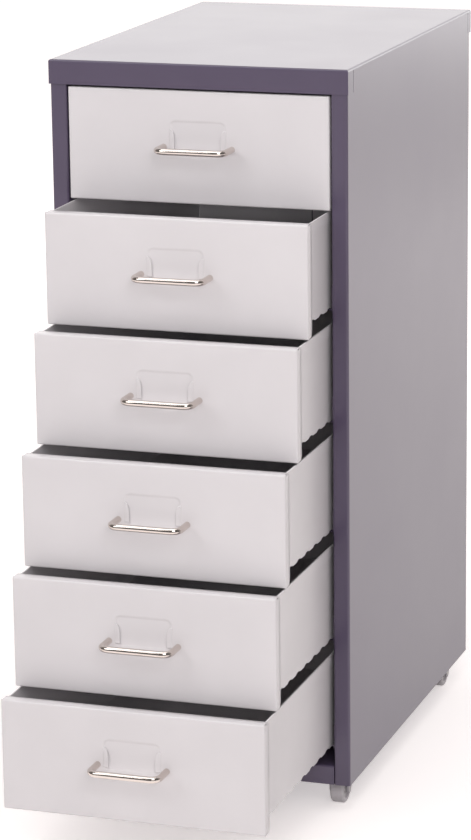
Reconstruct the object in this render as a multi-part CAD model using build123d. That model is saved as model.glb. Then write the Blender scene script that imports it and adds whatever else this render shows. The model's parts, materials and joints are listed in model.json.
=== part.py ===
# Small sheet-steel cabinet: six drawers in a folded case that stands on four swivel castors.
# Millimetres, +Z up, drawer fronts towards -Y. The origin is on the floor, under the middle of
# the whole cabinet as it stands with its drawers part open.
import os
from math import cos, radians, sin

from build123d import *

# ---- case ----
case_width = 280.0
case_depth = 420.0
case_height = 661.0          # lower edge of the side panels to the top face
floor_gap = 26.0             # what the castors lift the case's lower edge
case_sheet = 0.8
case_bend = 2.0              # outside radius of the case's folds
nest_gap = 0.2               # between panels that nest in each other
cap_rim = 22.0               # rim folded down all round the top
cap_front_wrap = 16.0        # how far the front rim wraps each side
cap_rear_wrap = 11.0
cap_slit = 0.8               # slit where a wrapped rim ends
column_width = 15.2          # front face of each side panel
column_return = 12.0         # fold that runs back from the column's inner edge
rear_flange = 14.0           # fold that closes each side panel at the back
rail_height = 18.0           # rim of the base under the lowest drawer
back_flange = 10.0           # folds that stiffen the back panel's top and bottom
back_screw_rows = 2
back_screw_inset = 7.0       # from the side panel's outer face
back_screw_end = 60.0        # outer rows, from the case's lower and upper edges
screw_shank = 3.5
screw_head = 7.0
screw_head_height = 0.9
screw_hole_gap = 0.15
overcut = 1.0                # how far a cutting shape runs past the faces it cuts

# ---- drawers ----
opened_1 = 0.0               # how far each drawer stands open, top first
opened_2 = 64.0
opened_3 = 96.5
opened_4 = 133.5
opened_5 = 162.5
opened_6 = 197.0
drawer_openings = (opened_1, opened_2, opened_3, opened_4, opened_5, opened_6)
drawer_count = len(drawer_openings)
top_gap = 1.9                # under the cap's rim
front_gap = 1.0              # between one front and the next
bottom_gap = 4.4             # over the base's rim
front_side_gap = 1.6         # beside a front, to the column
drawer_sheet = 0.7
drawer_bend = 1.6
front_return = 10.5          # folds that run back round a front
return_chamfer = 3.5         # lower rear corner of those folds
tray_side_gap = 4.8          # tray's wall to the column's fold
tray_rear_gap = 12.0         # shut tray to the back panel
tray_lift = 12.0             # lowest point of a tray over its front's lower edge
hem_height = 9.5             # top of each side wall, folded out and down
wave_pitch = 24.0            # hand-folded lower edge: one bulge for each slot
wave_drop = 1.5
wave_width = 19.0
wave_shoulder = 4.0          # sloped end of a bulge
seam_gap = 1.0               # between the two rear flaps
flap_lock_width = 12.0       # hooked strap that holds the flaps together
flap_lock_height = 16.0
side_lance_length = 12.0     # lanced tab that catches the front's side fold
side_lance_width = 3.0
side_lance_proud = 0.6
side_lance_below_hem = 3.0

# ---- label pressing and handle on each front ----
label_width = 52.0
label_height = 27.7
label_corner = 5.0
label_depth = 0.5            # how far the panel is pressed in
label_below_top = 27.1
lip_spacing = 43.0           # clear width between the two lips
lip_width = 5.0
lip_height = 18.7
lip_below_label = 7.0        # lips' upper ends under the pressing's upper edge
lip_proud = 0.9
handle_centres = 64.0
handle_wire = 6.0
handle_reach = 24.0          # front face to the grip's axis
handle_bend = 8.0            # radius of the bar's middle line
handle_bend_turns = 3        # equal mitred turns that make one bend
handle_below_top = 51.0
handle_screw_shank = 4.0
handle_screw_bite = 9.0      # thread inside the handle's foot
handle_screw_head = 8.0
handle_screw_head_height = 2.4
thread_relief = 1.5          # blind hole beyond the screw's end

# ---- runners ----
runner_sheet = 1.0
runner_height = 24.0
ledge_bearing = 7.0          # how far each ledge reaches under the tray
runner_side_gap = 0.2        # runner to the column's fold
slide_gap = 0.3              # tray to its ledge
runner_front = 4.0           # runner's front end behind the case's front
runner_tab = 11.0            # tab against the back panel
hook_width = 2.4
hook_height = 7.0
hook_catch = 2.5
hook_gap = 0.3

# ---- castors ----
castor_inset_x = 18.5        # swivel axis from the case's side
castor_inset_y = 36.0        # swivel axis from the case's front and back
wheel_diameter = 27.0
wheel_width = 13.0
trail = 8.0                  # wheel axle ahead of the swivel axis
axle_diameter = 3.0
running_gap = 0.05           # radial, shaft in bore
wheel_side_gap = 0.6
fork_arm = 2.2
fork_boss_radius = 4.2
crown_radius = 10.0
crown_height = 4.5
crown_over_wheel = 2.5
bearing_gap = 0.3
stem_diameter = 8.0
rivet_diameter = 11.0
rivet_height = 1.2
mount_diameter = 18.0
stud_diameter = 6.0
nut_across_flats = 10.0
nut_height = 5.0
stud_past_nut = 1.5
castor_hole_gap = 0.25

# ---- places that follow ----
top_z = floor_gap + case_height
handle_proud = handle_reach + handle_wire / 2
panel_setback = case_sheet + nest_gap                     # side panels inside the cap's rim
front_reach = max(drawer_openings) + handle_proud - panel_setback
front_y = (front_reach - case_depth) / 2                  # the cap's front face
side_outer = case_width / 2 - panel_setback
side_inner = side_outer - case_sheet
opening_half = side_outer - column_width
tray_half = opening_half - tray_side_gap
panel_front_y = front_y + panel_setback
panel_rear_y = front_y + case_depth - panel_setback
rail_top_z = floor_gap + rail_height
opening_height = top_z - cap_rim - rail_top_z
drawer_pitch = (opening_height - top_gap - bottom_gap + front_gap) / drawer_count
front_height = drawer_pitch - front_gap
front_width = 2 * (opening_half - front_side_gap)
back_rear_y = panel_rear_y - case_sheet - nest_gap
back_front_y = back_rear_y - case_sheet
tray_front = drawer_sheet + label_depth + nest_gap
tray_length = back_front_y - tray_rear_gap - panel_front_y - tray_front
tray_floor = tray_lift + wave_drop
tray_top = front_height - drawer_sheet - nest_gap
handle_z = front_height - handle_below_top
axle_z = wheel_diameter / 2
crown_bottom_z = wheel_diameter + crown_over_wheel
crown_top_z = crown_bottom_z + crown_height
base_under_z = rail_top_z - case_sheet


def frontBottom(index):
    # Height of the lower edge of a drawer's front; index 0 is the top drawer.
    return top_z - cap_rim - top_gap - front_height - index * drawer_pitch


def block(x0, x1, y0, y1, z0, z1):
    return Pos((x0 + x1) / 2, (y0 + y1) / 2, (z0 + z1) / 2) * Box(x1 - x0, y1 - y0, z1 - z0)


def rod(x, y, z, radius, length, direction):
    return extrude(Plane((x, y, z), z_dir=direction) * Circle(radius), amount=length)


def foldedSection(points, sheet, bend):
    # Section of a folded sheet: its outside line with rounded folds, thickened to the left.
    line = FilletPolyline(*points, radius=bend)
    return make_face(offset(line, amount=sheet, side=Side.LEFT).edges())


def foldedPan(width, depth, height, sheet, bend):
    # Shallow pan of folded sheet: closed face at y = 0, folds running back to y = depth.
    blank = block(-width / 2, width / 2, 0, depth, 0, height)
    face_edges = blank.faces().sort_by(Axis.Y)[0].edges()
    blank = fillet(face_edges, bend)
    return blank - block(sheet - width / 2, width / 2 - sheet, sheet, depth + sheet, sheet, height - sheet)


def sidePanel(side):
    # Column, side, and rear flange are one sheet: a plan section carried up the case.
    inner_end = (side * opening_half, panel_front_y + column_return)
    corners = [
        inner_end,
        (side * opening_half, panel_front_y),
        (side * side_outer, panel_front_y),
        (side * side_outer, panel_rear_y),
        (side * (side_outer - rear_flange), panel_rear_y),
    ]
    if side < 0:
        corners.reverse()
    section = foldedSection(corners, case_sheet, case_bend)
    panel = extrude(Pos(0, 0, floor_gap) * section, amount=case_height - case_bend)
    fold_inner, fold_outer = sorted((side * (opening_half - overcut),
                                     side * (opening_half + case_sheet + overcut)))
    for index in range(drawer_count):
        middle_z = hookMiddle(index)
        reach = hook_height / 2 + hook_catch + hook_gap
        y0 = panel_front_y + runner_front
        panel -= block(fold_inner, fold_outer, y0, y0 + hook_width + 2 * hook_gap,
                       middle_z - reach, middle_z + reach)
    for screw_z in backScrewHeights():
        panel -= rod(side * (side_outer - back_screw_inset), panel_rear_y + overcut, screw_z,
                     screw_shank / 2 + screw_hole_gap, case_sheet + 2 * overcut, (0, -1, 0))
    return panel


def capPanel():
    # The pan is drawn face down on +Y and turned up, so that its face is the cabinet's top.
    pan = foldedPan(case_width, cap_rim, case_depth, case_sheet, case_bend)
    pan = Rot(-90, 0, 0) * pan
    pan = Pos(0, front_y, top_z) * pan
    for wrap_y in (front_y + cap_front_wrap, front_y + case_depth - cap_rear_wrap - cap_slit):
        slit = block(-case_width, case_width, wrap_y, wrap_y + cap_slit,
                     top_z - cap_rim - overcut, top_z - case_bend)
        pan -= slit
    return pan


def basePanel():
    # Floor of the case with a rim folded down; its front rim is the rail under the drawers.
    half = side_inner - nest_gap
    rear = back_front_y - nest_gap
    column_rear = panel_front_y + column_return + nest_gap
    front_half = opening_half - nest_gap
    plate = block(-half, half, column_rear, rear, floor_gap, rail_top_z)
    plate += block(-front_half, front_half, panel_front_y, column_rear + overcut, floor_gap, rail_top_z)
    bend_edges = plate.edges().filter_by(Axis.X).group_by(Axis.Z)[-1].group_by(Axis.Y)
    plate = fillet([bend_edges[0], bend_edges[-1]], case_bend)
    hollow = block(case_sheet - half, half - case_sheet, column_rear + case_sheet, rear - case_sheet,
                   floor_gap - overcut, base_under_z)
    hollow += block(case_sheet - front_half, front_half - case_sheet, panel_front_y + case_sheet,
                    column_rear + case_sheet + overcut, floor_gap - overcut, base_under_z)
    plate -= hollow
    for x, y in castorPlaces().values():
        plate -= rod(x, y, base_under_z - overcut, stud_diameter / 2 + castor_hole_gap,
                     case_sheet + 2 * overcut, (0, 0, 1))
    return plate


def backPanel():
    # Plate behind the drawers with a fold forward along its top and bottom.
    half = side_outer - case_bend
    z0 = rail_top_z + nest_gap
    z1 = top_z - case_sheet - nest_gap
    fold_y = back_rear_y - back_flange
    section = foldedSection([(fold_y, z0), (back_rear_y, z0), (back_rear_y, z1), (fold_y, z1)],
                            case_sheet, case_bend)
    panel = extrude(Plane.YZ * section, amount=half, both=True)
    for side in (-1, 1):
        for screw_z in backScrewHeights():
            panel -= rod(side * (side_outer - back_screw_inset), back_rear_y + overcut, screw_z,
                         screw_shank / 2 + screw_hole_gap, case_sheet + 2 * overcut, (0, -1, 0))
    return panel


def backScrewHeights():
    low = floor_gap + back_screw_end
    high = top_z - back_screw_end
    return [low + (high - low) * row / (back_screw_rows - 1) for row in range(back_screw_rows)]


def backScrews():
    # Low-headed screws through the side panels' rear flanges into the back panel.
    screws = []
    for side in (-1, 1):
        for screw_z in backScrewHeights():
            x = side * (side_outer - back_screw_inset)
            screw = rod(x, panel_rear_y, screw_z, screw_head / 2, screw_head_height, (0, 1, 0))
            screw += rod(x, back_front_y - case_sheet, screw_z, screw_shank / 2,
                         panel_rear_y - back_front_y + case_sheet, (0, 1, 0))
            screws.append(screw)
    return Compound(screws)


def hookMiddle(index):
    return frontBottom(index) + tray_lift - slide_gap + runner_height - hook_height / 2 - hook_catch


def runner(side, index):
    # Angle strip behind the column: a web, a ledge for the tray, a front hook and a rear tab.
    ledge_z = frontBottom(index) + tray_lift - slide_gap
    web_outer = opening_half - runner_side_gap
    web_inner = web_outer - runner_sheet
    ledge_start = panel_front_y + front_return + drawer_sheet + nest_gap
    web_start = panel_front_y + runner_front
    rear = back_front_y - nest_gap
    low_z = ledge_z - runner_sheet
    strip = block(web_inner, web_outer, web_start, rear, low_z, low_z + runner_height)
    strip += block(tray_half - ledge_bearing, web_outer, ledge_start, rear, low_z, ledge_z)
    strip += block(web_inner, web_inner + runner_tab, rear - runner_sheet, rear, low_z, low_z + runner_height)
    root_edge = strip.edges().filter_by(Axis.Y).sort_by_distance((web_outer, rear / 2, low_z))[0]
    strip = fillet(root_edge, runner_sheet * 0.9)
    middle_z = hookMiddle(index)
    hook_y = web_start + hook_gap
    catch_x = opening_half + case_sheet + hook_gap
    strip += block(web_inner, catch_x + runner_sheet, hook_y, hook_y + hook_width,
                   middle_z - hook_height / 2, middle_z + hook_height / 2)
    strip += block(catch_x, catch_x + runner_sheet, hook_y, hook_y + hook_width,
                   middle_z - hook_height / 2 - hook_catch, middle_z)
    return strip if side > 0 else mirror(strip, about=Plane.YZ)


def drawerFront():
    # Folded pan with a label pocket pressed into it and two holes for the handle's screws.
    pan = foldedPan(front_width, front_return, front_height, drawer_sheet, drawer_bend)
    slope = make_face(Polyline((front_return + overcut, -overcut),
                               (front_return + overcut, return_chamfer + overcut),
                               (front_return - return_chamfer - overcut, -overcut), close=True).edges())
    pan -= extrude(Plane.YZ * slope, amount=front_width, both=True)
    label_top = front_height - label_below_top
    label_z = label_top - label_height / 2
    face = Plane((0, 0, label_z), x_dir=(1, 0, 0), z_dir=(0, -1, 0))
    pocket = face * RectangleRounded(label_width, label_height, label_corner)
    backing = face * Rectangle(label_width + 2 * drawer_sheet, label_height + 2 * drawer_sheet)
    pan -= extrude(pocket, amount=-drawer_sheet - overcut)
    pan += extrude(backing, amount=-label_depth - drawer_sheet) - extrude(backing, amount=-label_depth)
    lip_top = label_top - lip_below_label
    for side in (-1, 1):
        inner_x = side * lip_spacing / 2
        root_x = side * (lip_spacing / 2 + lip_width)
        leaf = [(inner_x, -lip_proud), (root_x, 0), (root_x, drawer_sheet),
                (inner_x, drawer_sheet - lip_proud)]
        lip = extrude(make_face(Polyline(*leaf, close=True).edges()), amount=lip_height)
        pan += Pos(0, 0, lip_top - lip_height) * lip
        pan -= rod(side * handle_centres / 2, -overcut, handle_z, handle_screw_shank / 2 + screw_hole_gap,
                   drawer_sheet + 2 * overcut, (0, 1, 0))
    return pan


def wavyStrip():
    # Section of a side wall's lower edge: straight at the folds, bulging down between them.
    count = int((tray_length - wave_pitch) // wave_pitch)
    first = tray_front + (tray_length - (count - 1) * wave_pitch) / 2
    top = tray_floor + 2 * drawer_sheet
    outline = [(first - wave_pitch / 2, tray_floor)]
    for step in range(count):
        middle = first + step * wave_pitch
        half = wave_width / 2
        outline += [(middle - half, tray_floor), (middle - half + wave_shoulder, tray_lift),
                    (middle + half - wave_shoulder, tray_lift), (middle + half, tray_floor)]
    last = first + (count - 0.5) * wave_pitch
    outline += [(last, tray_floor), (last, top), (first - wave_pitch / 2, top)]
    return extrude(Plane.YZ * make_face(Polyline(*outline, close=True).edges()), amount=drawer_sheet)


def drawerTray():
    # Tray folded by hand from one perforated sheet: floor, walls, outer hems and two rear flaps.
    half = tray_half
    y0, y1 = tray_front, tray_front + tray_length
    tray = block(-half, half, y0, y1, tray_floor, tray_top)
    tray = fillet(tray.edges().filter_by(Axis.Z), drawer_bend)
    tray -= block(drawer_sheet - half, half - drawer_sheet, y0 + drawer_sheet, y1 - drawer_sheet,
                  tray_floor + drawer_sheet, tray_top + overcut)
    wave = wavyStrip()
    hem = block(half - drawer_sheet, half + drawer_sheet, y0 + front_return, y1 - drawer_bend,
                tray_top - hem_height, tray_top)
    lance_top = tray_top - hem_height - side_lance_below_hem
    lance = block(half, half + side_lance_proud, y0 + front_return, y0 + front_return + side_lance_width,
                  lance_top - side_lance_length, lance_top)
    for side in (-1, 1):
        tray += Pos(side * half - (drawer_sheet if side > 0 else 0), 0, 0) * wave
        tray += hem if side > 0 else mirror(hem, about=Plane.YZ)
        tray += lance if side > 0 else mirror(lance, about=Plane.YZ)
        tray -= rod(side * handle_centres / 2, y0 - overcut, handle_z, handle_screw_shank / 2 + screw_hole_gap,
                    drawer_sheet + 2 * overcut, (0, 1, 0))
    lock_top = tray_top - hem_height
    tray -= block(-seam_gap / 2, seam_gap / 2, y1 - drawer_sheet - overcut, y1 + overcut,
                  tray_floor + 2 * drawer_sheet, tray_top + overcut)
    tray += block(-flap_lock_width / 2, flap_lock_width / 2, y1 - drawer_sheet, y1 + drawer_sheet,
                  lock_top - flap_lock_height, lock_top)
    return tray


def handleBend(side):
    # Corners of one bend: the tangent polygon of its arc, from the foot's leg to the grip.
    turn = radians(90 / handle_bend_turns)
    out = handle_bend / cos(turn / 2)
    centre_x = handle_centres / 2 - handle_bend
    centre_y = handle_bend - handle_reach
    corners = []
    for step in range(handle_bend_turns):
        angle = (step + 0.5) * turn
        corners.append((side * (centre_x + out * cos(angle)), centre_y - out * sin(angle), handle_z))
    return corners


def drawerHandle():
    # Wire bow: one round bar bent twice, with a blind hole for a screw in each foot.
    half = handle_centres / 2
    corners = [(-half, 0, handle_z), *handleBend(-1), *reversed(handleBend(1)), (half, 0, handle_z)]
    section = Plane(corners[0], z_dir=(0, -1, 0)) * Circle(handle_wire / 2)
    bow = sweep(section, path=Polyline(*corners), transition=Transition.RIGHT)
    for side in (-1, 1):
        bow -= rod(side * half, 0, handle_z, handle_screw_shank / 2 + running_gap,
                   handle_screw_bite + thread_relief, (0, -1, 0))
    return bow


def handleScrews():
    # Pan-headed screws from inside the tray, through its wall and the front, into the handle's feet.
    screws = []
    wall_inner = tray_front + drawer_sheet
    for side in (-1, 1):
        x = side * handle_centres / 2
        screw = rod(x, -handle_screw_bite, handle_z, handle_screw_shank / 2,
                    handle_screw_bite + wall_inner, (0, 1, 0))
        screws.append(screw + rod(x, wall_inner, handle_z, handle_screw_head / 2,
                                  handle_screw_head_height, (0, 1, 0)))
    return Compound(screws)


def castorPlaces():
    x = case_width / 2 - castor_inset_x
    front = front_y + castor_inset_y
    rear = front_y + case_depth - castor_inset_y
    return {"front_left": (-x, front), "front_right": (x, front),
            "rear_left": (-x, rear), "rear_right": (x, rear)}


def turned(points):
    # Solid of revolution about Z from (radius, height) points.
    outline = make_face(Polyline(*[(r, 0, z) for r, z in points], close=True).edges())
    return revolve(outline, axis=Axis.Z)


def castorMount():
    # Turned mount: stud through the base, hub, and the riveted stem that the fork turns on.
    rivet_top = crown_bottom_z - bearing_gap
    rivet_bottom = rivet_top - rivet_height
    hub_bottom = crown_top_z + bearing_gap
    stud_top = rail_top_z + nut_height + stud_past_nut
    return turned([
        (0, rivet_bottom), (rivet_diameter / 2, rivet_bottom), (rivet_diameter / 2, rivet_top),
        (stem_diameter / 2, rivet_top), (stem_diameter / 2, hub_bottom),
        (mount_diameter / 2, hub_bottom), (mount_diameter / 2, base_under_z),
        (stud_diameter / 2, base_under_z), (stud_diameter / 2, stud_top), (0, stud_top),
    ])


def castorFork():
    # Moulded fork: a crown round the stem and two tapering arms down to the axle.
    arm_inner = wheel_width / 2 + wheel_side_gap
    arm_outer = arm_inner + fork_arm
    arms_middle = Pos(0, -trail) * Rectangle(2 * arm_outer, 2 * fork_boss_radius)
    crown = make_hull([*Circle(crown_radius).edges(), *arms_middle.edges()])
    fork = extrude(Pos(0, 0, crown_bottom_z) * crown, amount=crown_height)
    root_front = -trail - fork_boss_radius
    root = Pos((root_front + crown_radius / 2) / 2, crown_bottom_z + crown_height / 4) * Rectangle(
        crown_radius / 2 - root_front, crown_height / 2)
    arm = make_hull([*(Pos(-trail, axle_z) * Circle(fork_boss_radius)).edges(), *root.edges()])
    for side in (-1, 1):
        start = arm_inner if side > 0 else -arm_outer
        fork += extrude(Plane.YZ.offset(start) * arm, amount=fork_arm)
    fork -= rod(0, 0, crown_bottom_z - overcut, stem_diameter / 2 + running_gap,
                crown_height + 2 * overcut, (0, 0, 1))
    fork -= rod(-arm_outer - overcut, -trail, axle_z, axle_diameter / 2 + running_gap,
                2 * arm_outer + 2 * overcut, (1, 0, 0))
    return fork


def castorWheel():
    # Moulded wheel: a flat tread, with a bore for the axle.
    half = wheel_width / 2
    wheel = rod(-half, -trail, axle_z, wheel_diameter / 2, wheel_width, (1, 0, 0))
    return wheel - rod(-half - overcut, -trail, axle_z, axle_diameter / 2 + running_gap,
                       wheel_width + 2 * overcut, (1, 0, 0))


def castorAxle():
    # Plain pin pressed into the fork's arms.
    arm_outer = wheel_width / 2 + wheel_side_gap + fork_arm
    return rod(-arm_outer, -trail, axle_z, axle_diameter / 2, 2 * arm_outer, (1, 0, 0))


def castorNuts():
    nuts = []
    for x, y in castorPlaces().values():
        hexagon = RegularPolygon(nut_across_flats / 2, 6, major_radius=False)
        nut = extrude(Pos(x, y, rail_top_z) * hexagon, amount=nut_height)
        nuts.append(nut - rod(x, y, rail_top_z - overcut, stud_diameter / 2 + running_gap,
                              nut_height + 2 * overcut, (0, 0, 1)))
    return Compound(nuts)


def write(name, shape):
    shape.label = name
    export_step(shape, f"parts/{name}.step")


os.makedirs("parts", exist_ok=True)

write("top_panel", capPanel())
write("left_side_panel", sidePanel(-1))
write("right_side_panel", sidePanel(1))
write("back_panel", backPanel())
write("base_panel", basePanel())
write("back_screws", backScrews())

front = drawerFront()
tray = drawerTray()
handle = drawerHandle()
screws = handleScrews()
for index, opened in enumerate(drawer_openings):
    number = index + 1
    place = Pos(0, panel_front_y - opened, frontBottom(index))
    write(f"drawer_front_{number}", place * front)
    write(f"drawer_tray_{number}", place * tray)
    write(f"drawer_handle_{number}", place * handle)
    write(f"handle_screws_{number}", place * screws)
    write(f"runner_left_{number}", runner(-1, index))
    write(f"runner_right_{number}", runner(1, index))

fork = castorFork()
wheel = castorWheel()
axle = castorAxle()
for corner, (x, y) in castorPlaces().items():
    place = Pos(x, y, 0)
    write(f"castor_fork_{corner}", place * fork)
    write(f"castor_wheel_{corner}", place * wheel)
    write(f"castor_axle_{corner}", place * axle)
mount = castorMount()
write("castor_mounts", Compound([Pos(x, y, 0) * mount for x, y in castorPlaces().values()]))
write("castor_nuts", castorNuts())
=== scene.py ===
import json
from math import cos, pi, radians, sin

import bpy
import numpy as np
from mathutils import Matrix, Vector


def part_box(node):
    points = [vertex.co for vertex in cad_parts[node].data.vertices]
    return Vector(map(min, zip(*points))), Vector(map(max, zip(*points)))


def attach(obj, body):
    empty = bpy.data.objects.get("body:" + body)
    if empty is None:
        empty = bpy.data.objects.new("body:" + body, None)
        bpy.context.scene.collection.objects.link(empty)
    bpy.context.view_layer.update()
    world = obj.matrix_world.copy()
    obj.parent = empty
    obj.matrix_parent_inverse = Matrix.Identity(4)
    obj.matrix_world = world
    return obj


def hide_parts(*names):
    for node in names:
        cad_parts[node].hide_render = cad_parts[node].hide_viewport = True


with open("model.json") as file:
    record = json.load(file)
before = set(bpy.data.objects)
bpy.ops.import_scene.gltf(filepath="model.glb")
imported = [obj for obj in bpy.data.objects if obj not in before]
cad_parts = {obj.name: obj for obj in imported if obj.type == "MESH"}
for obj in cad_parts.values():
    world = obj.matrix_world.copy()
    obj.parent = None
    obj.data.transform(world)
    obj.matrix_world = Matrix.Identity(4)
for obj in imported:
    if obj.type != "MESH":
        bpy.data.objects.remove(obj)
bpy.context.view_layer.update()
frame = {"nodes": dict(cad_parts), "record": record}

nodes = frame["nodes"]
mm = 0.001
drawerNumbers = range(1, 7)
castorCorners = ("front_left", "front_right", "rear_left", "rear_right")
print("frame loaded:", len(nodes), "nodes")


def toLinear(hexColour):
    # sRGB curve: a straight toe, then a power of 2.4
    channel = np.array([int(hexColour[at:at + 2], 16) for at in (1, 3, 5)]) / 255
    linear = np.where(channel <= 0.04045, channel / 12.92, ((channel + 0.055) / 1.055) ** 2.4)
    return (*linear.tolist(), 1.0)


def addNode(tree, kind, settings=None, links=None):
    # a setting is a property of the node where it has one of that name, and else an input socket
    node = tree.nodes.new(kind)
    for key, value in (settings or {}).items():
        if isinstance(key, str) and hasattr(node, key):
            setattr(node, key, value)
        else:
            node.inputs[key].default_value = value
    for key, source in (links or {}).items():
        tree.links.new(source, node.inputs[key])
    return node


def newMaterial(name, fixed):
    # what is the same all over a surface is set on the shader's own sockets
    material = bpy.data.materials.new(name)
    material.use_nodes = True
    shader = material.node_tree.nodes["Principled BSDF"]
    for socket, value in fixed.items():
        shader.inputs[socket].default_value = value
    return material, material.node_tree, shader


def inMm(box):
    # a box's lowest and highest corners, from metres
    return [np.array(point) / mm for point in box]


def gridFaces(rows, columns, keep=None):
    # quads of a rows x columns grid of points; keep is a mask of (rows - 1) x (columns - 1) quads
    index = np.arange(rows * columns).reshape(rows, columns)
    quads = np.stack([index[:-1, :-1], index[:-1, 1:], index[1:, 1:], index[1:, :-1]], axis=-1)
    return quads[keep] if keep is not None else quads.reshape(-1, 4)


def joined(surfaces):
    # several (points, faces) surfaces as one
    points, faces, start = [], [], 0
    for somePoints, someFaces in surfaces:
        somePoints = somePoints.reshape(-1, 3)
        points.append(somePoints)
        faces.append(someFaces + start)
        start += len(somePoints)
    return np.concatenate(points), np.concatenate(faces)


def makePiece(name, surface, material, body, replaced=(), sharp=40, sheet=None):
    # a mesh object at the origin from (points, faces) in millimetres; sharp is in degrees, and a sheet
    # gets its thickness behind the surface
    points, faces = surface
    mesh = bpy.data.meshes.new(name)
    mesh.from_pydata((points.reshape(-1, 3) * mm).tolist(), [], faces.tolist())
    mesh.validate()
    mesh.shade_smooth()
    mesh.set_sharp_from_angle(angle=radians(sharp))
    piece = bpy.data.objects.new(name, mesh)
    bpy.context.scene.collection.objects.link(piece)
    piece.data.materials.append(material)
    if sheet:
        wall = piece.modifiers.new("sheet", "SOLIDIFY")
        wall.thickness = sheet * mm
        wall.offset = -1.0
        wall.use_even_offset = True
    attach(piece, body)
    if replaced:
        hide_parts(*replaced)
    return piece


def tubeAlong(path, radius, sides=24):
    # point = path + radius x (side x cos turn + up x sin turn), where side = tangent x up;
    # the path stays in one level plane
    path = np.asarray(path, float)
    tangent = np.gradient(path, axis=0)
    tangent /= np.linalg.norm(tangent, axis=1, keepdims=True)
    up = np.array([0.0, 0.0, 1.0])
    side = np.cross(tangent, up)
    side /= np.linalg.norm(side, axis=1, keepdims=True)
    turn = np.linspace(0, 2 * pi, sides + 1)
    ring = (side[:, None, :] * np.cos(turn)[None, :, None] + up * np.sin(turn)[None, :, None]) * radius
    points = path[:, None, :] + ring
    return points, gridFaces(len(path), sides + 1)[:, ::-1]


def turnedAboutX(profile, centre, sides=48):
    # point = centre + (x, radius x cos turn, radius x sin turn) for each (x, radius) of the profile
    profile = np.asarray(profile, float)
    turn = np.linspace(0, 2 * pi, sides + 1)
    x = np.repeat(profile[:, :1], sides + 1, axis=1)
    y = profile[:, 1:] * np.cos(turn)
    z = profile[:, 1:] * np.sin(turn)
    return np.stack([x, y, z], axis=-1) + centre, gridFaces(len(profile), sides + 1)


def arc(centre, radius, start, end, steps):
    # point = centre + radius x (cos angle, sin angle), from start to end in degrees
    angle = np.radians(np.linspace(start, end, steps))
    return np.stack([centre[0] + radius * np.cos(angle), centre[1] + radius * np.sin(angle)], axis=-1)


def smoothStep(low, high, value):
    # with t the share of the way from low to high, held within 0 and 1: t squared x (3 - 2 t)
    t = np.clip((value - low) / (high - low), 0, 1)
    return t * t * (3 - 2 * t)


noiseRange = {"From Min": 0.3, "From Max": 0.7}          # nearly all of a noise texture's values lie in it

casePaintLook = {
    "colour": "#4b4157", "patch": "#4f455b", "gloss": (0.33, 0.36), "resinIor": 1.5,
    "coat": 0.40, "coatRoughness": 0.25, "peelMm": 1.6, "peelDepthMm": 0.010, "cloudMm": 90,
}
drawerPaintLook = {
    "colour": "#d6d2d5", "patch": "#d2ced1", "gloss": (0.34, 0.42), "resinIor": 1.5,
    "coat": 0.25, "coatRoughness": 0.3, "peelMm": 1.8, "peelDepthMm": 0.008, "cloudMm": 70,
}


def powderCoat(name, look):
    # Powder coat on sheet steel: a baked resin film, sprayed dry. It gives an even colour, a soft gloss,
    # a faint orange peel in waves of 1 to 2 mm, and slow changes of gloss where hands and cloths have been.
    material, tree, shader = newMaterial(name, {
        "IOR": look["resinIor"], "Coat IOR": look["resinIor"],
        "Coat Weight": look["coat"], "Coat Roughness": look["coatRoughness"]})
    place = addNode(tree, "ShaderNodeTexCoord").outputs["Object"]
    peel = addNode(tree, "ShaderNodeTexNoise", {"Scale": 1 / (look["peelMm"] * mm), "Detail": 1.5},
                   {"Vector": place})
    cloud = addNode(tree, "ShaderNodeTexNoise", {"Scale": 1 / (look["cloudMm"] * mm), "Detail": 3.0},
                    {"Vector": place})
    share = addNode(tree, "ShaderNodeMapRange", noiseRange, {"Value": cloud.outputs["Fac"]})
    colour = addNode(tree, "ShaderNodeMix", {"data_type": "RGBA", 6: toLinear(look["colour"]),
                                             7: toLinear(look["patch"])}, {0: share.outputs["Result"]})
    gloss = addNode(tree, "ShaderNodeMapRange",
                    {**noiseRange, "To Min": look["gloss"][0], "To Max": look["gloss"][1]},
                    {"Value": cloud.outputs["Fac"]})
    bump = addNode(tree, "ShaderNodeBump", {"Strength": 0.6, "Distance": look["peelDepthMm"] * mm},
                   {"Height": peel.outputs["Fac"]})
    tree.links.new(colour.outputs[2], shader.inputs["Base Color"])
    tree.links.new(gloss.outputs["Result"], shader.inputs["Roughness"])
    tree.links.new(bump.outputs["Normal"], shader.inputs["Normal"])
    return material


chromeLook = {
    "colour": "#d8cec8", "gloss": (0.07, 0.13), "smearMm": 14,
    "scratchMm": 0.5, "scratchDepthMm": 0.002, "scratchStretch": 25,
}


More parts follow.
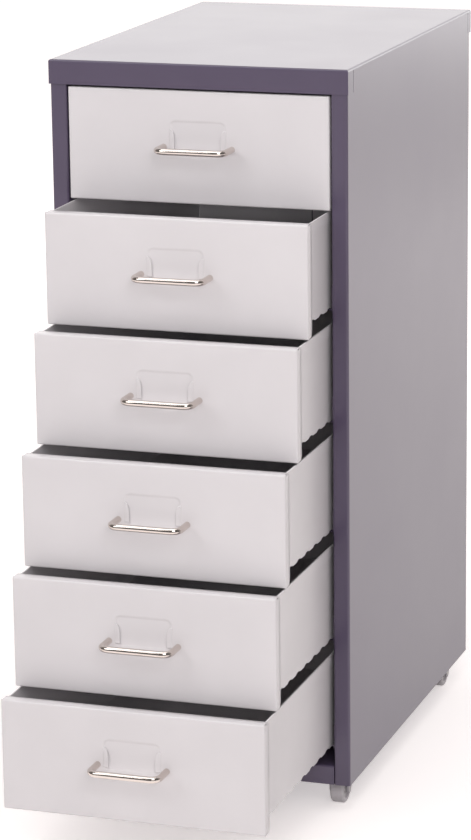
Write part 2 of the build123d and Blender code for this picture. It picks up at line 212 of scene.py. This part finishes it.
def platedBar(name, look):
    # Bright nickel-chrome plate on drawn bar: mirror bright, a touch warm, with fine rub marks along it.
    # Real rub marks are far finer than 0.5 mm: they are drawn as coarse as they need to show.
    material, tree, shader = newMaterial(name, {"Base Color": toLinear(look["colour"]), "Metallic": 1.0})
    place = addNode(tree, "ShaderNodeTexCoord").outputs["Object"]
    smear = addNode(tree, "ShaderNodeTexNoise", {"Scale": 1 / (look["smearMm"] * mm), "Detail": 4.0},
                    {"Vector": place})
    along = addNode(tree, "ShaderNodeMapping", {"Scale": (1 / look["scratchStretch"], 1.0, 1.0)},
                    {"Vector": place})
    scratch = addNode(tree, "ShaderNodeTexNoise", {"Scale": 1 / (look["scratchMm"] * mm), "Detail": 2.0},
                      {"Vector": along.outputs["Vector"]})
    gloss = addNode(tree, "ShaderNodeMapRange",
                    {**noiseRange, "To Min": look["gloss"][0], "To Max": look["gloss"][1]},
                    {"Value": smear.outputs["Fac"]})
    bump = addNode(tree, "ShaderNodeBump", {"Strength": 0.4, "Distance": look["scratchDepthMm"] * mm},
                   {"Height": scratch.outputs["Fac"]})
    tree.links.new(gloss.outputs["Result"], shader.inputs["Roughness"])
    tree.links.new(bump.outputs["Normal"], shader.inputs["Normal"])
    return material


zincLook = {"colour": "#b9b8b2", "patch": "#a3a29b", "gloss": (0.28, 0.42), "blotchMm": 2.5}


def zincPlate(name, look):
    # Electroplated zinc on small turned and headed steel parts: grey, satin, slightly blotched.
    material, tree, shader = newMaterial(name, {"Metallic": 1.0})
    place = addNode(tree, "ShaderNodeTexCoord").outputs["Object"]
    blotch = addNode(tree, "ShaderNodeTexNoise", {"Scale": 1 / (look["blotchMm"] * mm), "Detail": 3.0},
                     {"Vector": place})
    colour = addNode(tree, "ShaderNodeMix", {"data_type": "RGBA", 6: toLinear(look["colour"]),
                                             7: toLinear(look["patch"])}, {0: blotch.outputs["Fac"]})
    gloss = addNode(tree, "ShaderNodeMapRange", {"To Min": look["gloss"][0], "To Max": look["gloss"][1]},
                    {"Value": blotch.outputs["Fac"]})
    tree.links.new(colour.outputs[2], shader.inputs["Base Color"])
    tree.links.new(gloss.outputs["Result"], shader.inputs["Roughness"])
    return material


forkLook = {
    "colour": "#a8a4a9", "patch": "#9d999f", "gloss": (0.35, 0.5), "nylonIor": 1.53, "lightDepthMm": 2,
    "mottleMm": 5, "grainMm": 0.8, "grainDepthMm": 0.01,
}
wheelLook = {
    "colour": "#c3bec2", "patch": "#b5b0b5", "gloss": (0.3, 0.5), "nylonIor": 1.53, "lightDepthMm": 2,
    "mottleMm": 4, "grainMm": 0.7, "grainDepthMm": 0.015,
}


def mouldedNylon(name, look):
    # Injection-moulded nylon: milky grey, lets a little light in, satin, with fine mould grain and scuffs.
    # Real mould grain is finer than 0.7 mm: it is drawn as coarse as it needs to show.
    material, tree, shader = newMaterial(name, {
        "IOR": look["nylonIor"], "Subsurface Weight": 0.15,
        "Subsurface Radius": (look["lightDepthMm"] * mm,) * 3, "Subsurface Scale": 1.0})
    place = addNode(tree, "ShaderNodeTexCoord").outputs["Object"]
    mottle = addNode(tree, "ShaderNodeTexNoise", {"Scale": 1 / (look["mottleMm"] * mm), "Detail": 4.0},
                     {"Vector": place})
    grain = addNode(tree, "ShaderNodeTexNoise", {"Scale": 1 / (look["grainMm"] * mm), "Detail": 1.0},
                    {"Vector": place})
    colour = addNode(tree, "ShaderNodeMix", {"data_type": "RGBA", 6: toLinear(look["colour"]),
                                             7: toLinear(look["patch"])}, {0: mottle.outputs["Fac"]})
    gloss = addNode(tree, "ShaderNodeMapRange", {"To Min": look["gloss"][0], "To Max": look["gloss"][1]},
                    {"Value": mottle.outputs["Fac"]})
    bump = addNode(tree, "ShaderNodeBump", {"Strength": 0.5, "Distance": look["grainDepthMm"] * mm},
                   {"Height": grain.outputs["Fac"]})
    tree.links.new(colour.outputs[2], shader.inputs["Base Color"])
    tree.links.new(gloss.outputs["Result"], shader.inputs["Roughness"])
    tree.links.new(bump.outputs["Normal"], shader.inputs["Normal"])
    return material


casePaint = powderCoat("slatePowderCoat", casePaintLook)
drawerPaint = powderCoat("whitePowderCoat", drawerPaintLook)
handleChrome = platedBar("brightChromePlate", chromeLook)
zincSteel = zincPlate("zincPlatedSteel", zincLook)
forkNylon = mouldedNylon("greyForkNylon", forkLook)
wheelNylon = mouldedNylon("paleWheelNylon", wheelLook)
finishes = {
    "case_paint": casePaint, "runner_steel": casePaint, "drawer_paint": drawerPaint,
    "handle_chrome": handleChrome, "zinc_steel": zincSteel,
    "castor_plastic": forkNylon, "wheel_plastic": wheelNylon,
}
for part in frame["record"]["subparts"]:
    mesh = nodes[part["node"]].data
    mesh.materials.clear()
    mesh.materials.append(finishes[part["material_slot"]])
print("finishes made and given to every node")


# Each front is one sheet, folded back along its four edges. A station is a place along the unfolded sheet.
frontSheet = {
    "sheet": 0.7, "bend": 1.6, "fold": 10.5, "cut": 3.5,
    "labelWidth": 52, "labelHeight": 27.7, "labelCorner": 5, "labelBelowTop": 27.1,
    "pressDepth": 0.5, "pressSlope": 0.75,
    "lipSpacing": 43, "lipWidth": 5, "lipHeight": 18.7, "lipBelowLabel": 7, "lipProud": 0.9, "lipRound": 8.5,
    "lipSlope": 1.15,                                    # past 1, so a lip's outer edge stays a little proud
}
frontStations = {
    "labelStep": 0.8, "labelMargin": 3, "wideCount": 25, "wideGap": 2, "bendCount": 7, "edgeCell": 4,
}
lipStations = {"across": 9, "up": 19}
nearly = 1e-3                                            # mm; more than the rounding of a station's place


def foldedLine(distance, half, bend):
    # distance along a strip that is flat to half - bend, then rolls round a quarter circle and runs back:
    # gives (place across, place back)
    flat = half - bend
    side, past = np.sign(distance), np.abs(distance) - flat
    angle = np.clip(past / bend, 0, pi / 2)
    back = np.maximum(past - bend * pi / 2, 0)
    across = np.where(past > 0, flat + bend * np.sin(angle), np.abs(distance))
    return side * across, bend * (1 - np.cos(angle)) + back


def stationsAcross(size, half, labelHalf, labelMiddle):
    # stations close together over the label and round the bends, and wide apart between
    count = frontStations
    flat = half - size["bend"]
    bendEnd = flat + size["bend"] * pi / 2
    edge = bendEnd + size["fold"] - size["bend"]
    reach = labelHalf + count["labelMargin"]
    fine = np.linspace(labelMiddle - reach, labelMiddle + reach, int(reach * 2 / count["labelStep"]))
    wide = np.linspace(-flat, flat, count["wideCount"])
    wide = wide[np.abs(wide - labelMiddle) > reach + count["wideGap"]]
    bends = np.linspace(flat, bendEnd, count["bendCount"])
    beforeEdge = edge - count["edgeCell"]
    ends = [edge, -edge, beforeEdge, -beforeEdge]
    return np.unique(np.concatenate([fine, wide, bends, -bends, ends]).round(4))


def labelPress(size, x, z):
    # depth x (1 - smooth step of the distance outside a box with round corners), x and z from its middle
    corner = size["labelCorner"]
    overX = np.abs(x) - (size["labelWidth"] / 2 - corner)
    overZ = np.abs(z) - (size["labelHeight"] / 2 - corner)
    outside = np.hypot(np.maximum(overX, 0), np.maximum(overZ, 0)) + np.minimum(np.maximum(overX, overZ), 0)
    return size["pressDepth"] * (1 - smoothStep(-size["pressSlope"], 0, outside - corner))


def cellsPast(stations, flat, bendEnd):
    # of the cells between stations, those wholly past the flat, and those whose middle is past the bend
    past = np.abs(stations) > flat + nearly
    middle = np.abs(stations[:-1] + stations[1:]) / 2
    return past[:-1] & past[1:], middle > bendEnd


def frontSurface(size, low, high):
    # y = face + fold back of both strips + press of the label; the side folds are cut at their lower corner,
    # and the sheet is notched where two folds would meet
    bend, quarter = size["bend"], size["bend"] * pi / 2
    width, height = high[0] - low[0], high[2] - low[2]
    middleX, middleZ = (low[0] + high[0]) / 2, (low[2] + high[2]) / 2
    labelZ = high[2] - size["labelBelowTop"] - size["labelHeight"] / 2
    across = stationsAcross(size, width / 2, size["labelWidth"] / 2, 0.0)
    up = stationsAcross(size, height / 2, size["labelHeight"] / 2, labelZ - middleZ)
    x, backX = foldedLine(across, width / 2, bend)
    z, backZ = foldedLine(up, height / 2, bend)
    gridX, gridZ = np.meshgrid(x, z)
    flatX, flatZ = width / 2 - bend, height / 2 - bend
    back = backX[None, :] + backZ[:, None]
    cut = np.clip(size["cut"] - (gridZ + height / 2), 0, size["cut"])
    onSideFold = np.abs(across)[None, :] > flatX + quarter + nearly
    back = np.where(onSideFold, np.minimum(back, size["fold"] - cut), back)
    press = labelPress(size, gridX, gridZ + middleZ - labelZ)
    points = np.stack([gridX + middleX, low[1] + back + press, gridZ + middleZ], axis=-1)
    pastX, foldX = cellsPast(across, flatX, flatX + quarter)
    pastZ, foldZ = cellsPast(up, flatZ, flatZ + quarter)
    notch = (foldX[None, :] & pastZ[:, None]) | (pastX[None, :] & foldZ[:, None])
    return points, gridFaces(len(up), len(across), ~notch)


def lipSurface(size, side, faceY, topZ):
    # one label lip: proud x a smooth ramp across it, its upper end a quarter ellipse from edge to root
    across, up = np.meshgrid(np.linspace(0, 1, lipStations["across"]), np.linspace(0, 1, lipStations["up"]))
    height = size["lipHeight"] - size["lipRound"] * (1 - np.sqrt(1 - (1 - across) ** 2))
    x = side * (size["lipSpacing"] / 2 + across * size["lipWidth"])
    y = faceY - size["lipProud"] * (1 - smoothStep(0, size["lipSlope"], across))
    z = topZ - size["lipHeight"] + up * height
    faces = gridFaces(lipStations["up"], lipStations["across"])
    return np.stack([x, y, z], axis=-1), faces if side > 0 else faces[:, ::-1]


for number in drawerNumbers:
    low, high = inMm(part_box(f"drawer_front_{number}"))
    low[1] += frontSheet["lipProud"]                     # the node's box starts at its lips
    makePiece(f"frontPanel{number}", frontSurface(frontSheet, low, high), drawerPaint,
              f"drawer_{number}", [f"drawer_front_{number}"], sheet=frontSheet["sheet"])
    lipTop = high[2] - frontSheet["labelBelowTop"] - frontSheet["lipBelowLabel"]
    lips = joined([lipSurface(frontSheet, side, low[1], lipTop) for side in (-1, 1)])
    makePiece(f"labelLips{number}", lips, drawerPaint, f"drawer_{number}",
              sheet=frontSheet["sheet"])
print("drawer fronts with label holders")


handleBar = {
    "centres": 64, "radius": 3, "reach": 24, "bend": 8, "belowTop": 51,
    "legSteps": 4, "bendSteps": 14, "gripSteps": 7,
}


def handleSurface(size, faceY, topZ):
    # a round bar along straight leg, quarter circle, grip, quarter circle, straight leg, all at one height
    half, bend = size["centres"] / 2, size["bend"]
    gripY = faceY - size["reach"]
    left = arc((-half + bend, gripY + bend), bend, 180, 270, size["bendSteps"])
    right = arc((half - bend, gripY + bend), bend, 270, 360, size["bendSteps"])
    leg = np.linspace(faceY, gripY + bend, size["legSteps"] + 1)[:-1]
    grip = np.linspace(bend - half, half - bend, size["gripSteps"] + 2)[1:-1]
    flat = np.concatenate([
        np.stack([np.full(len(leg), -half), leg], axis=-1), left,
        np.stack([grip, np.full(len(grip), gripY)], axis=-1), right,
        np.stack([np.full(len(leg), half), leg[::-1]], axis=-1)])
    path = np.column_stack([flat, np.full(len(flat), topZ - size["belowTop"])])
    return tubeAlong(path, size["radius"])


for number in drawerNumbers:
    low, high = inMm(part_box(f"drawer_front_{number}"))
    bar = handleSurface(handleBar, low[1] + frontSheet["lipProud"], high[2])
    makePiece(f"bowHandle{number}", bar, handleChrome, f"drawer_{number}",
              [f"drawer_handle_{number}"], sharp=60)
print("bow handles")


castorWheel = {
    "bore": 1.55, "hub": 4.2, "hubIn": 0.3, "grooveIn": 1.9, "grooveStart": 4.8, "grooveEnd": 8.4,
    "rimStart": 9.2, "treadRound": 2.4, "treadSteps": 9,
}


def wheelSurface(size, low, high):
    # a profile turned about the axle: half of it runs from bore to tread (hub face, groove, rim face, round
    # shoulder), the other half is its mirror image, and the last point closes it along the bore
    half, radius = (high[0] - low[0]) / 2, (high[2] - low[2]) / 2
    tread = size["treadRound"]
    shoulder = arc((half - tread, radius - tread), tread, 0, 90, size["treadSteps"])
    hubX, grooveX = half - size["hubIn"], half - size["grooveIn"]
    side = np.array([[hubX, size["bore"]], [hubX, size["hub"]], [grooveX, size["grooveStart"]],
                     [grooveX, size["grooveEnd"]], [half, size["rimStart"]], *shoulder])
    mirror = (-1, 1)
    profile = np.concatenate([side * mirror, side[::-1], side[:1] * mirror])
    return turnedAboutX(profile, (low + high) / 2)


for corner in castorCorners:
    low, high = inMm(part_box(f"castor_wheel_{corner}"))
    makePiece(f"grooved_wheel_{corner}", wheelSurface(castorWheel, low, high), wheelNylon,
              f"wheel_{corner}", [f"castor_wheel_{corner}"], sharp=30)
print("castor wheels")


cameraView = {
    "yaw": 18.734, "pitch": 14.327, "roll": -0.715,      # degrees
    "distance": 3231.9, "aimX": -35.08, "aimBehindFront": 200.0, "aimZ": 312.04,
    "focalShare": 3341.0 / 840,                          # focal length over the height of the picture
    "clipEndM": 50,
}


def placeCamera(view):
    # stands back from the aim against its forward direction; roll turns right and up about that direction
    yaw, pitch, roll = (radians(view[key]) for key in ("yaw", "pitch", "roll"))
    forward = Vector((-sin(yaw) * cos(pitch), cos(yaw) * cos(pitch), -sin(pitch)))
    level = Vector((cos(yaw), sin(yaw), 0))
    above = level.cross(forward)
    right = cos(roll) * level + sin(roll) * above
    up = -sin(roll) * level + cos(roll) * above
    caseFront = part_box("top_panel")[0][1]
    aim = Vector((view["aimX"] * mm, caseFront + view["aimBehindFront"] * mm, view["aimZ"] * mm))
    data = bpy.data.cameras.new("photoCamera")
    data.sensor_fit = "VERTICAL"
    data.lens = view["focalShare"] * data.sensor_height
    data.clip_end = view["clipEndM"]
    camera = bpy.data.objects.new("photoCamera", data)
    bpy.context.scene.collection.objects.link(camera)
    turn = Matrix((right, up, -forward)).transposed().to_4x4()
    camera.matrix_world = Matrix.Translation(aim - forward * view["distance"] * mm) @ turn
    bpy.context.scene.camera = camera


placeCamera(cameraView)

studio = {
    "air": (1.0, 0.955, 0.93), "ambient": 0.42,          # light of the surroundings
    "front": 0.15, "dimToY": -0.1, "whiteFromY": 0.6,    # what bright metal mirrors, by the direction's Y
    "floor": "#e9e5e3", "floorSize": 14,                 # lengths in metres, here and for the lamps
    "glow": (1.0, 0.95, 0.955), "glowNear": 0.47, "glowFar": 0.72, "glowFromY": -0.1, "glowToY": 2.6,
}


def backgroundRays(tree):
    # 1 for rays that show the background: seen straight, in a gloss, or through something clear
    path = addNode(tree, "ShaderNodeLightPath")
    either = addNode(tree, "ShaderNodeMath", {"operation": "MAXIMUM"},
                     {0: path.outputs["Is Camera Ray"], 1: path.outputs["Is Glossy Ray"]})
    return addNode(tree, "ShaderNodeMath", {"operation": "MAXIMUM"},
                   {0: either.outputs[0], 1: path.outputs["Is Transmission Ray"]}).outputs[0]


def paleWorld(look):
    # a white sweep; what the object mirrors of it is white behind the object and dimmer in front of it
    world = bpy.data.worlds.new("studio")
    bpy.context.scene.world = world
    world.use_nodes = True
    tree = world.node_tree
    sky = tree.nodes["Background"]
    sky.inputs["Color"].default_value = (*look["air"], 1)
    direction = addNode(tree, "ShaderNodeTexCoord").outputs["Generated"]
    way = addNode(tree, "ShaderNodeSeparateXYZ", links={0: direction})
    behind = addNode(tree, "ShaderNodeMapRange",
                     {"From Min": look["dimToY"], "From Max": look["whiteFromY"], "To Min": look["front"],
                      "To Max": 1.0}, {"Value": way.outputs["Y"]})
    straight = addNode(tree, "ShaderNodeLightPath").outputs["Is Camera Ray"]
    seen = addNode(tree, "ShaderNodeMath", {"operation": "MAXIMUM"},
                   {0: behind.outputs["Result"], 1: straight})
    strength = addNode(tree, "ShaderNodeMix", {"data_type": "FLOAT", 2: look["ambient"]},
                       {0: backgroundRays(tree), 3: seen.outputs[0]})
    tree.links.new(strength.outputs[0], sky.inputs["Strength"])


def paleFloor(look):
    # a flat square of paper; rays that show the background see it glow, and more so far behind the object
    half = look["floorSize"] / 2
    corners = [(-half, -half, 0), (half, -half, 0), (half, half, 0), (-half, half, 0)]
    mesh = bpy.data.meshes.new("floor")
    mesh.from_pydata(corners, [], [(0, 1, 2, 3)])
    floor = bpy.data.objects.new("floor", mesh)
    bpy.context.scene.collection.objects.link(floor)
    material, tree, shader = newMaterial("paleStudioPaper", {
        "Base Color": toLinear(look["floor"]), "Roughness": 0.9, "Emission Color": (*look["glow"], 1)})
    place = addNode(tree, "ShaderNodeTexCoord").outputs["Object"]
    way = addNode(tree, "ShaderNodeSeparateXYZ", links={0: place})
    far = addNode(tree, "ShaderNodeMapRange",
                  {"From Min": look["glowFromY"], "From Max": look["glowToY"], "To Min": look["glowNear"],
                   "To Max": look["glowFar"]}, {"Value": way.outputs["Y"]})
    glow = addNode(tree, "ShaderNodeMath", {"operation": "MULTIPLY"},
                   {0: backgroundRays(tree), 1: far.outputs["Result"]})
    tree.links.new(glow.outputs[0], shader.inputs["Emission Strength"])
    mesh.materials.append(material)


# The front strip stands at the camera's place and lights the insides of the open drawers. It is kept out of
# gloss, because bright metal would mirror it as a hard line.
lamps = {
    "leftSoftbox": {"place": (-1.7, -2.3, 2.1), "aim": (0, 0, 0.35), "size": (1.4, 1.4), "watts": 20},
    "rightSoftbox": {"place": (1.5, -2.5, 1.9), "aim": (0, 0, 0.35), "size": (1.2, 1.2), "watts": 21},
    "overheadSoftbox": {"place": (0.0, -0.6, 2.4), "aim": (0, -0.1, 0.4), "size": (2.0, 1.6), "watts": 21},
    "rearPanel": {"place": (0.0, 3.4, 1.5), "aim": (0, 0.2, 0.6), "size": (4.0, 1.6), "watts": 19},
    "frontStrip": {"place": (0.97, -2.86, 1.11), "aim": (0, 0.1, 0.31), "size": (1.0, 0.12), "watts": 14,
                   "mirrored": False},
    "rightRearStrip": {"place": (1.25, 2.7, 0.75), "aim": (0.14, 0.2, 0.6), "size": (1.4, 0.9), "watts": 8},
}


def softLight(name, look):
    # a rectangle of even light that faces its aim
    data = bpy.data.lights.new(name, "AREA")
    data.shape = "RECTANGLE"
    data.size, data.size_y = look["size"]
    data.energy = look["watts"]
    lamp = bpy.data.objects.new(name, data)
    bpy.context.scene.collection.objects.link(lamp)
    lamp.visible_glossy = look.get("mirrored", True)
    lamp.location = look["place"]
    lamp.rotation_euler = (Vector(look["aim"]) - Vector(look["place"])).to_track_quat("-Z", "Y").to_euler()


paleWorld(studio)
paleFloor(studio)
for name, look in lamps.items():
    softLight(name, look)
bpy.context.scene.view_settings.view_transform = "Standard"
print("camera, floor and light")
